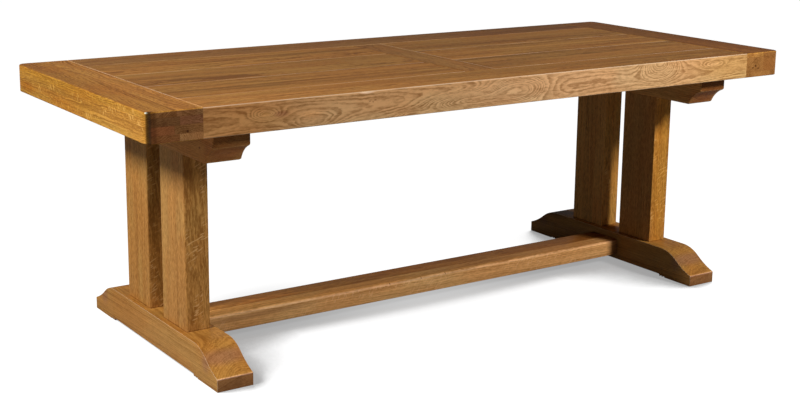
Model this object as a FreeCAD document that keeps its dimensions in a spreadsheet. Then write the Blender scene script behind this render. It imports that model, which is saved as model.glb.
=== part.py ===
"""Oak trestle dining table, built as a parametric document.

Millimetres. X runs along the table, Y from front to back and Z up, and the origin lies on the floor
under the middle of the top. Left is towards -X and front is towards -Y.
"""

import FreeCAD, Part
import math
import os
import re
import Sketcher

# ---------------------------------------------------------------------------------------------
# Driving dimensions
# ---------------------------------------------------------------------------------------------

SIZES = {
    # Tabletop
    "table_length": 2204,
    "table_depth": 904,
    "table_height": 760,
    "top_thickness": 78,
    "top_corner_radius": 24,
    "top_arris": 4,
    "top_lower_arris": 2.5,
    "breadboard_width": 150,
    "long_rail_width": 145,
    "centre_rail_width": 106,
    "plank_thickness": 32,
    "vee_leg": 2,
    # Joints inside the tabletop
    "tongue_cover": 11,
    "tongue_thickness": 9,
    "tongue_length": 10,
    "groove_clearance": 1.5,
    "rail_tenon_thickness": 24,
    "long_tenon_width": 85,
    "long_tenon_length": 60,
    "cross_tenon_width": 66,
    "cross_tenon_length": 40,
    "tenon_end_clearance": 2,
    # Feet
    "trestle_inset": 249.5,
    "foot_length": 815,
    "foot_width": 105,
    "foot_height": 97,
    "foot_ogee_run": 139,
    "foot_shoulder_radius": 112,
    "foot_hollow_radius": 235,
    "foot_toe_height": 35,
    "foot_pad_length": 108,
    "foot_relief": 7,
    "foot_relief_radius": 180,
    # Bearers
    "bearer_setback": 45,
    "bearer_width": 105,
    "bearer_height": 87,
    "cove_run": 52,
    "cove_rise": 48,
    "cove_radius": 82,
    "cove_nose_radius": 7,
    # Posts
    "post_thickness": 70,
    "post_width": 150,
    "post_gap": 88,
    "post_tenon_thickness": 24,
    "post_tenon_width": 110,
    "post_tenon_length": 50,
    "timber_arris": 2.5,
    # Stretcher
    "stretcher_width": 123,
    "stretcher_thickness": 52,
    "stretcher_lift": 25,
    "stretcher_worn_arris": 10,
    "stretcher_tenon_width": 92,
    "stretcher_tenon_thickness": 30,
    "stretcher_tenon_length": 40,
    # Fasteners
    "bolt_diameter": 8,
    "bolt_head_diameter": 13,
    "bolt_head_height": 8,
    "bolt_key_width": 6,
    "bolt_key_depth": 4,
    "bolt_hole_clearance": 1,
    "bolt_end_clearance": 3,
    "washer_diameter": 20,
    "washer_thickness": 1.6,
    "washer_hole_clearance": 0.4,
    "insert_diameter": 12,
    "insert_length": 16,
    "thread_clearance": 0.1,
    "counterbore_clearance": 2,
    "top_counterbore_depth": 18,
    "top_bolt_engagement": 19.4,
    "top_bolt_pitch": 60,
    "top_bolt_edge_distance": 25,
    "foot_counterbore_depth": 14,
    "stretcher_bolt_engagement": 13.4,
    "stretcher_bolt_pitch": 50,
}

doc = FreeCAD.newDocument("TrestleTable")
sheet = doc.addObject("Spreadsheet::Sheet", "Size")
for row, (alias, number) in enumerate(SIZES.items(), start=1):
    sheet.set(f"A{row}", alias)
    sheet.set(f"B{row}", str(number))
    sheet.setAlias(f"B{row}", alias)
doc.recompute()

# Each side of the table: its sign along X, and the turn that brings a right-hand piece there.
SIDES = {"left": (-1, 180), "right": (1, 0)}
# Each row of planks, with its place along Y in plank widths.
ROWS = {"front": -1, "middle": 0, "back": 1}

# ---------------------------------------------------------------------------------------------
# Formulas, written in the sheet's aliases
# ---------------------------------------------------------------------------------------------

TOP_UNDERSIDE = "(table_height - top_thickness)"
BAY_END = "(table_length / 2 - breadboard_width)"
BAY_EDGE = "(table_depth / 2 - long_rail_width)"
LONG_RAIL_CENTRE = "(table_depth / 2 - long_rail_width / 2)"
PLANK_WIDTH = f"((table_depth - 2 * long_rail_width) / {len(ROWS)})"
BOARD_LEVELS = ("0", "top_thickness")
TONGUE_LEVELS = ("top_thickness - tongue_cover - tongue_thickness", "top_thickness - tongue_cover")
GROOVE_DEPTH = "(tongue_length + groove_clearance)"

TRESTLE_CENTRE = "(table_length / 2 - trestle_inset)"
BEARER_END = "(table_depth / 2 - bearer_setback)"
BEARER_UNDERSIDE = "(table_height - top_thickness - bearer_height)"
POST_CENTRE = "(post_gap / 2 + post_width / 2)"
POST_LENGTH = "(table_height - top_thickness - bearer_height - foot_height)"
STRETCHER_END = f"({TRESTLE_CENTRE} - foot_width / 2)"

TOP_BOLT_ROW = f"({BAY_EDGE} + top_bolt_edge_distance)"
BOLT_HOLE = "bolt_diameter + bolt_hole_clearance"
INSERT_HOLE = "insert_diameter + 2 * thread_clearance"
COUNTERBORE = "washer_diameter + counterbore_clearance"
TOP_BOLT_SEAT = f"({BEARER_UNDERSIDE} + top_counterbore_depth)"
TOP_BOLT_LENGTH = f"({TOP_UNDERSIDE} + top_bolt_engagement - {TOP_BOLT_SEAT} + washer_thickness)"
FOOT_BOLT_SEAT = "(foot_relief + foot_counterbore_depth)"
FOOT_INSERT_START = "(stretcher_lift + (stretcher_thickness + stretcher_tenon_thickness) / 2)"
FOOT_BOLT_LENGTH = f"({FOOT_INSERT_START} + stretcher_bolt_engagement - {FOOT_BOLT_SEAT} + washer_thickness)"
FOOT_BOLT_INSET = "(stretcher_tenon_length / 2)"


def middle(width):
    """A span of a width, centred on the origin."""
    return f"-({width}) / 2", f"({width}) / 2"


def around(centre, width):
    """A span of a width, about a centre."""
    return f"{centre} - ({width}) / 2", f"{centre} + ({width}) / 2"


def read_aliases(formula):
    """Make each alias in a formula a reading of the sheet."""
    return re.sub(r"[a-z]\w+", r"Size.\g<0>", formula)


def value(formula):
    """The number that a formula gives."""
    return sheet.evalExpression(read_aliases(formula))


def bind(owner, path, formula):
    """Bind a property to a formula."""
    owner.setExpression(path, read_aliases(formula))


# ---------------------------------------------------------------------------------------------
# Sketching and extruding
# ---------------------------------------------------------------------------------------------

# Sketch indices: the origin, the two axes, and the points of a line, an arc or a circle.
HORIZONTAL_AXIS, VERTICAL_AXIS = range(-1, -3, -1)
START, END, CENTRE = range(1, 4)
ORIGIN = (HORIZONTAL_AXIS, START)
UP = FreeCAD.Vector(0, 0, 1)
SAME_PLACE = 0.01


def new_body(label, x="0", y="0", z="0", turn=0):
    """A body with its own label, at a place given by formulas and turned about the vertical."""
    body = doc.addObject("PartDesign::Body", label)
    body.Label = label
    body.Placement = FreeCAD.Placement(FreeCAD.Vector(), FreeCAD.Rotation(UP, turn))
    for axis, formula in zip("xyz", (x, y, z)):
        bind(body, f"Placement.Base.{axis}", formula)
    return body


def origin_plane(body, role):
    """One of the body's own origin planes."""
    return next(feature for feature in body.Origin.OriginFeatures if feature.Role == role)


def new_sketch(body, name, role, level):
    """A sketch on an origin plane of the body, lifted to a level along the plane's normal."""
    sketch = body.newObject("Sketcher::SketchObject", name + "_sketch")
    sketch.AttachmentSupport = [(origin_plane(body, role), "")]
    sketch.MapMode = "FlatFace"
    bind(sketch, "AttachmentOffset.Base.z", level)
    return sketch


def line(sketch, start, end):
    """A straight line between two points of the sketch."""
    return sketch.addGeometry(Part.LineSegment(FreeCAD.Vector(*start), FreeCAD.Vector(*end)))


def arc(sketch, centre, radius, start, end):
    """An arc about a centre, anticlockwise between two angles in radians."""
    circle = Part.Circle(FreeCAD.Vector(*centre), UP, radius)
    return sketch.addGeometry(Part.ArcOfCircle(circle, start, end))


def relate(sketch, kind, *places):
    """Add a constraint that has no size."""
    sketch.addConstraint(Sketcher.Constraint(kind, *places))


def measure(sketch, name, formula, kind, *places):
    """Add a named dimension and bind it to a formula."""
    dimension = Sketcher.Constraint(kind, *places, float(value(formula)))
    sketch.renameConstraint(sketch.addConstraint(dimension), name)
    bind(sketch, f"Constraints.{name}", formula)


def extrude(body, kind, name, sketch, levels):
    """Pad or pocket a sketch from its own level up to the next, and make it the body's tip."""
    feature = body.newObject("PartDesign::" + kind, name)
    feature.Profile = sketch
    feature.Reversed = kind == "Pocket"
    bind(feature, "Length", f"({levels[1]}) - ({levels[0]})")
    return feature


def block(body, kind, name, x, y, z):
    """A rectangular pad or pocket between a pair of formulas along each axis."""
    sketch = new_sketch(body, name, "XY_Plane", z[0])
    (x_start, x_end), (y_start, y_end) = ([value(formula) for formula in span] for span in (x, y))
    corners = [(x_start, y_start), (x_end, y_start), (x_end, y_end), (x_start, y_end)]
    sides = [line(sketch, *ends) for ends in zip(corners, corners[1:] + corners[:1])]
    for side, following in zip(sides, sides[1:] + sides[:1]):
        relate(sketch, "Coincident", side, END, following, START)
    for side, way in zip(sides, ("Horizontal", "Vertical", "Horizontal", "Vertical")):
        relate(sketch, way, side)
    measure(sketch, "x_start", x[0], "DistanceX", *ORIGIN, sides[0], START)
    measure(sketch, "y_start", y[0], "DistanceY", *ORIGIN, sides[0], START)
    measure(sketch, "x_end", x[1], "DistanceX", *ORIGIN, sides[2], START)
    measure(sketch, "y_end", y[1], "DistanceY", *ORIGIN, sides[2], START)
    return extrude(body, kind, name, sketch, z)


def bores(body, name, centres, diameter, z):
    """Round vertical pockets of one diameter."""
    sketch = new_sketch(body, name, "XY_Plane", z[0])
    for index, (x, y) in enumerate(centres):
        centre = FreeCAD.Vector(value(x), value(y))
        circle = sketch.addGeometry(Part.Circle(centre, UP, value(diameter) / 2))
        measure(sketch, f"diameter_{index}", diameter, "Diameter", circle)
        measure(sketch, f"x_{index}", x, "DistanceX", *ORIGIN, circle, CENTRE)
        measure(sketch, f"y_{index}", y, "DistanceY", *ORIGIN, circle, CENTRE)
    return extrude(body, "Pocket", name, sketch, z)


def mirror_half(body, half):
    """Complete a body that is drawn from its middle plane towards the back."""
    mirrored = body.newObject("PartDesign::Mirrored", "mirrored")
    mirrored.Originals = [half]
    mirrored.MirrorPlane = (origin_plane(body, "XZ_Plane"), [""])
    body.Tip = mirrored


def at(edge, **places):
    """Whether a whole edge lies this far from the middle planes, or this far above the ground."""
    box = edge.BoundBox
    spans = {"x": (box.XMin, box.XMax), "y": (box.YMin, box.YMax), "z": (box.ZMin, box.ZMax)}
    for axis, formula in places.items():
        start, end = spans[axis]
        if end - start > SAME_PLACE or abs(abs(start) - value(formula)) > SAME_PLACE:
            return False
    return True


def ease(body, kind, name, size, chosen):
    """Fillet or chamfer those edges of the body so far that a test picks."""
    doc.recompute()
    last = body.Tip
    names = [f"Edge{index}" for index, edge in enumerate(last.Shape.Edges, 1) if chosen(edge)]
    feature = body.newObject("PartDesign::" + kind, name)
    feature.Base = (last, names)
    bind(feature, {"Fillet": "Radius", "Chamfer": "Size"}[kind], size)


# ---------------------------------------------------------------------------------------------
# Tabletop: each piece is drawn above the underside of the top
# ---------------------------------------------------------------------------------------------

RAIL_TENON_LEVELS = around("top_thickness / 2", "rail_tenon_thickness")


def breadboard_end(label, turn):
    """The cross-grained end of the top, drawn as the right one."""
    body = new_body(label, z=TOP_UNDERSIDE, turn=turn)
    block(body, "Pad", "board", (BAY_END, "table_length / 2"), middle("table_depth"), BOARD_LEVELS)
    ease(body, "Fillet", "corners", "top_corner_radius",
         lambda edge: at(edge, x="table_length / 2", y="table_depth / 2"))
    ease(body, "Chamfer", "joint_vee", "vee_leg",
         lambda edge: at(edge, x=BAY_END, z="top_thickness"))
    ease(body, "Fillet", "upper_arris", "top_arris",
         lambda edge: at(edge, z="top_thickness") and not at(edge, x=f"{BAY_END} + vee_leg"))
    ease(body, "Fillet", "lower_arris", "top_lower_arris",
         lambda edge: at(edge, z="0") and not at(edge, x=BAY_END))
    groove = (BAY_END, f"{BAY_END} + {GROOVE_DEPTH}")
    block(body, "Pocket", "plank_groove", groove, middle(f"2 * {BAY_EDGE}"), TONGUE_LEVELS)
    mortise = (BAY_END, f"{BAY_END} + long_tenon_length + tenon_end_clearance")
    for place, sign in (("front", "-"), ("back", "")):
        across = around(f"{sign}{LONG_RAIL_CENTRE}", "long_tenon_width")
        block(body, "Pocket", f"mortise_{place}", mortise, across, RAIL_TENON_LEVELS)
    return body


def long_rail(label, turn):
    """The long edge member between the breadboard ends, drawn as the front one."""
    body = new_body(label, z=TOP_UNDERSIDE, turn=turn)
    board = ("-table_depth / 2", f"-{BAY_EDGE}")
    block(body, "Pad", "board", middle(f"2 * {BAY_END}"), board, BOARD_LEVELS)
    ease(body, "Chamfer", "joint_vees", "vee_leg",
         lambda edge: at(edge, z="top_thickness") and not at(edge, y="table_depth / 2"))
    ease(body, "Fillet", "upper_arris", "top_arris",
         lambda edge: at(edge, y="table_depth / 2", z="top_thickness"))
    ease(body, "Fillet", "lower_arris", "top_lower_arris",
         lambda edge: at(edge, y="table_depth / 2", z="0"))
    tenons = middle(f"2 * ({BAY_END} + long_tenon_length)")
    across = around(f"-{LONG_RAIL_CENTRE}", "long_tenon_width")
    block(body, "Pad", "tenons", tenons, across, RAIL_TENON_LEVELS)
    groove = (f"-{BAY_EDGE} - {GROOVE_DEPTH}", f"-{BAY_EDGE}")
    block(body, "Pocket", "plank_groove", middle(f"2 * {BAY_END}"), groove, TONGUE_LEVELS)
    mortise = (f"-{BAY_EDGE} - cross_tenon_length - tenon_end_clearance", f"-{BAY_EDGE}")
    block(body, "Pocket", "centre_mortise", middle("cross_tenon_width"), mortise, RAIL_TENON_LEVELS)
    bolts = [
        (f"{side} * {TRESTLE_CENTRE} + {step} * top_bolt_pitch / 2", f"-{TOP_BOLT_ROW}")
        for side in (-1, 1)
        for step in (-1, 1)
    ]
    bores(body, "insert_bores", bolts, INSERT_HOLE, ("0", "insert_length"))
    bores(body, "bolt_bores", bolts, BOLT_HOLE, ("0", "top_bolt_engagement + bolt_end_clearance"))
    return body


def centre_rail(label):
    """The cross member at mid length, tenoned into both long rails."""
    body = new_body(label, z=TOP_UNDERSIDE)
    across = middle(f"2 * {BAY_EDGE}")
    block(body, "Pad", "board", middle("centre_rail_width"), across, BOARD_LEVELS)
    ease(body, "Chamfer", "joint_vees", "vee_leg", lambda edge: at(edge, z="top_thickness"))
    tenons = middle(f"2 * ({BAY_EDGE} + cross_tenon_length)")
    block(body, "Pad", "tenons", middle("cross_tenon_width"), tenons, RAIL_TENON_LEVELS)
    for side, (sign, _) in SIDES.items():
        edge = f"{sign} * centre_rail_width / 2"
        groove = (f"{edge} - {sign} * {GROOVE_DEPTH}", edge)
        block(body, "Pocket", f"plank_groove_{side}", groove, across, TONGUE_LEVELS)
    return body


def plank(label, turn, row):
    """A plank of one bay, drawn in the right bay and tongued at both ends.

    The planks beside the rails carry tongues on both long edges, and the middle plank has the grooves.
    """
    body = new_body(label, y=f"{row} * {PLANK_WIDTH}", z=TOP_UNDERSIDE, turn=turn)
    along = ("centre_rail_width / 2", BAY_END)
    board = ("top_thickness - plank_thickness", "top_thickness")
    block(body, "Pad", "board", along, middle(PLANK_WIDTH), board)
    ease(body, "Chamfer", "joint_vees", "vee_leg", lambda edge: at(edge, z="top_thickness"))
    whole = (f"{along[0]} - tongue_length", f"{along[1]} + tongue_length")
    block(body, "Pad", "end_tongues", whole, middle(PLANK_WIDTH), TONGUE_LEVELS)
    if row:
        across = middle(f"{PLANK_WIDTH} + 2 * tongue_length")
        block(body, "Pad", "side_tongues", along, across, TONGUE_LEVELS)
    else:
        for side, (sign, _) in SIDES.items():
            edge = f"{sign} * {PLANK_WIDTH} / 2"
            groove = (f"{edge} - {sign} * {GROOVE_DEPTH}", edge)
            block(body, "Pocket", f"side_groove_{side}", whole, groove, TONGUE_LEVELS)
    return body


# ---------------------------------------------------------------------------------------------
# Trestles and stretcher
# ---------------------------------------------------------------------------------------------


def foot(label, side, turn):
    """A foot with an ogee at each end and a shallow relief between its pads, drawn as the right one."""
    body = new_body(label, x=f"{side} * {TRESTLE_CENTRE}", turn=turn)
    outline = new_sketch(body, "outline", "YZ_Plane", "-foot_width / 2")
    foot_outline(outline)
    mirror_half(body, extrude(body, "Pad", "half", outline, middle("foot_width")))
    above_relief = value("foot_relief") + SAME_PLACE
    ease(body, "Fillet", "arrises", "timber_arris",
         lambda edge: at(edge, x="foot_width / 2") and edge.BoundBox.ZMax > above_relief
         or at(edge, y="foot_length / 2", z="foot_toe_height"))
    post_mortise = ("foot_height - post_tenon_length - tenon_end_clearance", "foot_height")
    for place, sign in (("front", "-"), ("back", "")):
        across = around(f"{sign}{POST_CENTRE}", "post_tenon_width")
        block(body, "Pocket", f"mortise_{place}", middle("post_tenon_thickness"), across, post_mortise)
    inward = ("-foot_width / 2", "-foot_width / 2 + stretcher_tenon_length + tenon_end_clearance")
    tenon_levels = around("(stretcher_lift + stretcher_thickness / 2)", "stretcher_tenon_thickness")
    block(body, "Pocket", "stretcher_mortise", inward, middle("stretcher_tenon_width"), tenon_levels)
    bolts = [
        (f"-foot_width / 2 + {FOOT_BOLT_INSET}", f"{step} * stretcher_bolt_pitch / 2")
        for step in (-1, 1)
    ]
    bores(body, "counterbores", bolts, COUNTERBORE, ("0", FOOT_BOLT_SEAT))
    bolt_end = f"{FOOT_INSERT_START} + stretcher_bolt_engagement + bolt_end_clearance"
    bores(body, "bolt_bores", bolts, BOLT_HOLE, ("0", bolt_end))
    insert = (FOOT_INSERT_START, f"{FOOT_INSERT_START} + insert_length")
    bores(body, "insert_bores", bolts, INSERT_HOLE, insert)
    return body


def foot_outline(sketch):
    """The back half of a foot's end view: relief, pad, toe, hollow, shoulder and flat top."""
    half_length = value("foot_length / 2")
    height = value("foot_height")
    toe_height = value("foot_toe_height")
    relief = value("foot_relief")
    relief_radius = value("foot_relief_radius")
    shoulder_radius = value("foot_shoulder_radius")
    hollow_radius = value("foot_hollow_radius")
    pad_start = half_length - value("foot_pad_length")
    flat_end = half_length - value("foot_ogee_run")

    # The relief rises from the pad along an arc that ends level.
    relief_turn = math.acos(1 - relief / relief_radius)
    relief_end = pad_start - relief_radius * math.sin(relief_turn)

    # The hollow's centre lies one radius from the toe and both radii from the shoulder's centre.
    shoulder_centre = (flat_end, height - shoulder_radius)
    to_toe = (half_length - shoulder_centre[0], toe_height - shoulder_centre[1])
    span = math.hypot(*to_toe)
    reach = shoulder_radius + hollow_radius
    opening = math.acos((reach ** 2 + span ** 2 - hollow_radius ** 2) / (2 * reach * span))
    turning = math.atan2(to_toe[1], to_toe[0]) + opening
    hollow_centre = (
        shoulder_centre[0] + reach * math.cos(turning),
        shoulder_centre[1] + reach * math.sin(turning),
    )
    toe_angle = math.tau + math.atan2(toe_height - hollow_centre[1], half_length - hollow_centre[0])

    relief_flat = line(sketch, (0, relief), (relief_end, relief))
    relief_centre = (relief_end, relief - relief_radius)
    upright_angle = math.pi / 2
    relief_curve = arc(sketch, relief_centre, relief_radius, upright_angle - relief_turn, upright_angle)
    pad = line(sketch, (pad_start, 0), (half_length, 0))
    toe = line(sketch, (half_length, 0), (half_length, toe_height))
    hollow = arc(sketch, hollow_centre, hollow_radius, turning + math.pi, toe_angle)
    shoulder = arc(sketch, shoulder_centre, shoulder_radius, turning, upright_angle)
    flat = line(sketch, (flat_end, height), (0, height))
    halfway = line(sketch, (0, height), (0, relief))

    relate(sketch, "Tangent", relief_flat, END, relief_curve, END)
    relate(sketch, "Coincident", relief_curve, START, pad, START)
    relate(sketch, "Coincident", pad, END, toe, START)
    relate(sketch, "Coincident", toe, END, hollow, END)
    relate(sketch, "Tangent", hollow, START, shoulder, START)
    relate(sketch, "Tangent", shoulder, END, flat, START)
    relate(sketch, "Coincident", flat, END, halfway, START)
    relate(sketch, "Coincident", halfway, END, relief_flat, START)
    for level in (relief_flat, pad, flat):
        relate(sketch, "Horizontal", level)
    for upright in (toe, halfway):
        relate(sketch, "Vertical", upright)
    relate(sketch, "PointOnObject", halfway, START, VERTICAL_AXIS)
    relate(sketch, "PointOnObject", pad, START, HORIZONTAL_AXIS)

    measure(sketch, "half_length", "foot_length / 2", "DistanceX", *ORIGIN, pad, END)
    measure(sketch, "pad_length", "foot_pad_length", "DistanceX", pad, START, pad, END)
    measure(sketch, "ogee_run", "foot_ogee_run", "DistanceX", flat, START, toe, END)
    measure(sketch, "relief", "foot_relief", "DistanceY", *ORIGIN, relief_flat, START)
    measure(sketch, "toe_height", "foot_toe_height", "DistanceY", *ORIGIN, toe, END)
    measure(sketch, "height", "foot_height", "DistanceY", *ORIGIN, flat, START)
    measure(sketch, "relief_radius", "foot_relief_radius", "Radius", relief_curve)
    measure(sketch, "shoulder_radius", "foot_shoulder_radius", "Radius", shoulder)
    measure(sketch, "hollow_radius", "foot_hollow_radius", "Radius", hollow)


def bearer(label, side, turn):
    """A cross member under the top with a cove at each end, drawn above its own underside."""
    body = new_body(label, x=f"{side} * {TRESTLE_CENTRE}", z=BEARER_UNDERSIDE, turn=turn)
    outline = new_sketch(body, "outline", "YZ_Plane", "-bearer_width / 2")
    bearer_outline(outline)
    mirror_half(body, extrude(body, "Pad", "half", outline, middle("bearer_width")))
    ease(body, "Fillet", "noses", "cove_nose_radius",
         lambda edge: at(edge, y=BEARER_END, z="cove_rise")
         or at(edge, y=f"{BEARER_END} - cove_run", z="0"))
    ease(body, "Fillet", "arrises", "timber_arris",
         lambda edge: at(edge, x="bearer_width / 2") and not at(edge, z="bearer_height"))
    mortise = ("0", "post_tenon_length + tenon_end_clearance")
    for place, sign in (("front", "-"), ("back", "")):
        across = around(f"{sign}{POST_CENTRE}", "post_tenon_width")
        block(body, "Pocket", f"mortise_{place}", middle("post_tenon_thickness"), across, mortise)
    bolts = [
        (f"{step} * top_bolt_pitch / 2", f"{end} * {TOP_BOLT_ROW}")
        for step in (-1, 1)
        for end in (-1, 1)
    ]
    bores(body, "counterbores", bolts, COUNTERBORE, ("0", "top_counterbore_depth"))
    bores(body, "bolt_bores", bolts, BOLT_HOLE, ("0", "bearer_height"))
    return body


def bearer_outline(sketch):
    """The back half of a bearer's end view: underside, cove, end face and top."""
    half_length = value(BEARER_END)
    height = value("bearer_height")
    run = value("cove_run")
    rise = value("cove_rise")
    radius = value("cove_radius")

    # The cove's centre lies outside the wood, square off the middle of the line between its ends.
    span = math.hypot(run, rise)
    outward = math.sqrt(radius ** 2 - (span / 2) ** 2) / span
    cove_centre = (half_length - run / 2 + rise * outward, rise / 2 - run * outward)
    upper_angle = math.atan2(rise - cove_centre[1], half_length - cove_centre[0])
    lower_angle = math.atan2(-cove_centre[1], half_length - run - cove_centre[0])

    underside = line(sketch, (0, 0), (half_length - run, 0))
    cove = arc(sketch, cove_centre, radius, upper_angle, lower_angle)
    end_face = line(sketch, (half_length, rise), (half_length, height))
    top = line(sketch, (half_length, height), (0, height))
    halfway = line(sketch, (0, height), (0, 0))

    relate(sketch, "Coincident", underside, END, cove, END)
    relate(sketch, "Coincident", cove, START, end_face, START)
    relate(sketch, "Coincident", end_face, END, top, START)
    relate(sketch, "Coincident", top, END, halfway, START)
    relate(sketch, "Coincident", halfway, END, underside, START)
    relate(sketch, "Coincident", underside, START, *ORIGIN)
    for level in (underside, top):
        relate(sketch, "Horizontal", level)
    for upright in (end_face, halfway):
        relate(sketch, "Vertical", upright)

    measure(sketch, "half_length", BEARER_END, "DistanceX", *ORIGIN, end_face, START)
    measure(sketch, "height", "bearer_height", "DistanceY", *ORIGIN, top, START)
    measure(sketch, "cove_run", "cove_run", "DistanceX", underside, END, end_face, START)
    measure(sketch, "cove_rise", "cove_rise", "DistanceY", *ORIGIN, end_face, START)
    measure(sketch, "cove_radius", "cove_radius", "Radius", cove)


def post(label, side, row):
    """One of a trestle's twin posts, tenoned into its foot and its bearer."""
    body = new_body(label, x=f"{side} * {TRESTLE_CENTRE}", y=f"{row} * {POST_CENTRE}", z="foot_height")
    block(body, "Pad", "shaft", middle("post_thickness"), middle("post_width"), ("0", POST_LENGTH))
    ease(body, "Fillet", "arrises", "timber_arris",
         lambda edge: at(edge, x="post_thickness / 2", y="post_width / 2"))
    tenons = ("-post_tenon_length", f"{POST_LENGTH} + post_tenon_length")
    block(body, "Pad", "tenons", middle("post_tenon_thickness"), middle("post_tenon_width"), tenons)
    return body


def stretcher(label):
    """The low board between the feet, tenoned and bolted into both.

    Its front upper arris is worn round.
    """
    body = new_body(label, z="stretcher_lift")
    levels = ("0", "stretcher_thickness")
    block(body, "Pad", "board", middle(f"2 * {STRETCHER_END}"), middle("stretcher_width"), levels)
    ease(body, "Fillet", "worn_arris", "stretcher_worn_arris",
         lambda edge: at(edge, y="stretcher_width / 2", z="stretcher_thickness")
         and edge.BoundBox.YMax < 0)
    ease(body, "Fillet", "arrises", "timber_arris",
         lambda edge: at(edge, y="stretcher_width / 2")
         and (at(edge, z="stretcher_thickness") or at(edge, z="0")))
    tenons = middle(f"2 * ({STRETCHER_END} + stretcher_tenon_length)")
    tenon_levels = around("stretcher_thickness / 2", "stretcher_tenon_thickness")
    block(body, "Pad", "tenons", tenons, middle("stretcher_tenon_width"), tenon_levels)
    bolts = [
        (f"{side} * ({STRETCHER_END} + {FOOT_BOLT_INSET})", f"{step} * stretcher_bolt_pitch / 2")
        for side in (-1, 1)
        for step in (-1, 1)
    ]
    bores(body, "bolt_bores", bolts, BOLT_HOLE, levels)
    return body


# ---------------------------------------------------------------------------------------------
# Fasteners: one of each kind is made at the back right, and mirrored to the other places
# ---------------------------------------------------------------------------------------------


def primitive(kind, name, z="0", **sizes):
    """A Part primitive on the vertical axis, with its sizes bound to formulas."""
    solid = doc.addObject("Part::" + kind, name)
    bind(solid, "Placement.Base.z", z)
    for size, formula in sizes.items():
        bind(solid, size, formula)
    return solid


def cut(name, base, tool):
    """One solid with another taken away."""
    result = doc.addObject("Part::Cut", name)
    result.Base = base
    result.Tool = tool
    return result


def ring(name, outer, inner, height):
    """A plain ring, such as a washer or a threaded insert's sleeve."""
    sleeve = primitive("Cylinder", name + "_sleeve", Radius=f"({outer}) / 2", Height=height)
    hole = primitive("Cylinder", name + "_hole", Radius=f"({inner}) / 2", Height=height)
    return cut(name, sleeve, hole)


def cap_screw(name, length):
    """A cap screw that points up, with its head below the ground and a hexagon socket in the head."""
    head = primitive("Cylinder", name + "_head", z="-bolt_head_height",
                     Radius="bolt_head_diameter / 2", Height="bolt_head_height")
    shank = primitive("Cylinder", name + "_shank", Radius="bolt_diameter / 2", Height=length)
    joined = doc.addObject("Part::Fuse", name + "_blank")
    joined.Base = head
    joined.Tool = shank
    socket = primitive("Prism", name + "_socket", z="-bolt_head_height",
                       Circumradius=f"bolt_key_width / {math.sqrt(3)}", Height="bolt_key_depth")
    return cut(name, joined, socket)


def spread(label, piece, place, planes):
    """Put a piece at a place, then double it across each plane in turn, as one labelled group."""
    for axis, formula in zip("xyz", place):
        bind(piece, f"Placement.Base.{axis}", formula)
    group = piece
    for number, (axis, offset) in enumerate(planes, start=1):
        twin = doc.addObject("Part::Mirroring", f"{label}_mirror_{number}")
        twin.Source = group
        twin.Normal = FreeCAD.Vector(axis == "x", axis == "y", 0)
        bind(twin, f"Base.{axis}", offset)
        pair = doc.addObject("Part::Compound", f"{label}_group_{number}")
        pair.Links = [group, twin]
        group = pair
    group.Label = label
    return group


def fastener_set(prefix, length, place, seat, insert_start, planes):
    """The cap screws, washers and threaded inserts of one kind of joint."""
    bearing = f"{seat} - washer_thickness"
    washer_hole = "bolt_diameter + washer_hole_clearance"
    thread = "bolt_diameter + 2 * thread_clearance"
    screw = cap_screw(prefix + "_bolt", length)
    washer = ring(prefix + "_washer", "washer_diameter", washer_hole, "washer_thickness")
    insert = ring(prefix + "_insert", "insert_diameter", thread, "insert_length")
    return [
        spread(prefix + "_bolts", screw, (*place, bearing), planes),
        spread(prefix + "_washers", washer, (*place, bearing), planes),
        spread(prefix + "_inserts", insert, (*place, insert_start), planes),
    ]


# ---------------------------------------------------------------------------------------------
# Assembly
# ---------------------------------------------------------------------------------------------

pieces = [long_rail("front_rail", 0), long_rail("back_rail", 180), centre_rail("centre_rail")]
for side, (sign, turn) in SIDES.items():
    pieces.append(breadboard_end(f"breadboard_end_{side}", turn))
    for row_name, row in ROWS.items():
        pieces.append(plank(f"plank_{side}_{row_name}", turn, row))
    pieces.append(bearer(f"bearer_{side}", sign, turn))
    pieces.append(foot(f"foot_{side}", sign, turn))
    for row_name in ("front", "back"):
        pieces.append(post(f"post_{side}_{row_name}", sign, ROWS[row_name]))
pieces.append(stretcher("stretcher"))
pieces += fastener_set(
    "top", TOP_BOLT_LENGTH,
    place=(f"{TRESTLE_CENTRE} + top_bolt_pitch / 2", TOP_BOLT_ROW),
    seat=TOP_BOLT_SEAT,
    insert_start=TOP_UNDERSIDE,
    planes=(("x", TRESTLE_CENTRE), ("y", "0"), ("x", "0")),
)
pieces += fastener_set(
    "stretcher", FOOT_BOLT_LENGTH,
    place=(f"{STRETCHER_END} + {FOOT_BOLT_INSET}", "stretcher_bolt_pitch / 2"),
    seat=FOOT_BOLT_SEAT,
    insert_start=FOOT_INSERT_START,
    planes=(("y", "0"), ("x", "0")),
)
doc.recompute()

# ---------------------------------------------------------------------------------------------
# Checks, then one file for each piece
# ---------------------------------------------------------------------------------------------

for item in doc.Objects:
    if {"Invalid", "Error"} & set(item.State):
        raise RuntimeError(f"{item.Label} did not compute: {item.State}")
    if item.TypeId == "PartDesign::Pocket" and item.Shape.Volume >= item.BaseFeature.Shape.Volume:
        raise RuntimeError(f"{item.Label} cuts nothing")
for piece in pieces:
    if piece.Shape.isNull() or not piece.Shape.isValid():
        raise RuntimeError(f"{piece.Label} has no valid shape")

CUBIC_CENTIMETRE = 10 ** 3
os.makedirs("parts", exist_ok=True)
for piece in pieces:
    piece.Shape.exportStep(f"parts/{piece.Label}.step")
    volume = round(piece.Shape.Volume / CUBIC_CENTIMETRE)
    print(piece.Label, len(piece.Shape.Solids), "solids", volume, "cm3")
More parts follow.
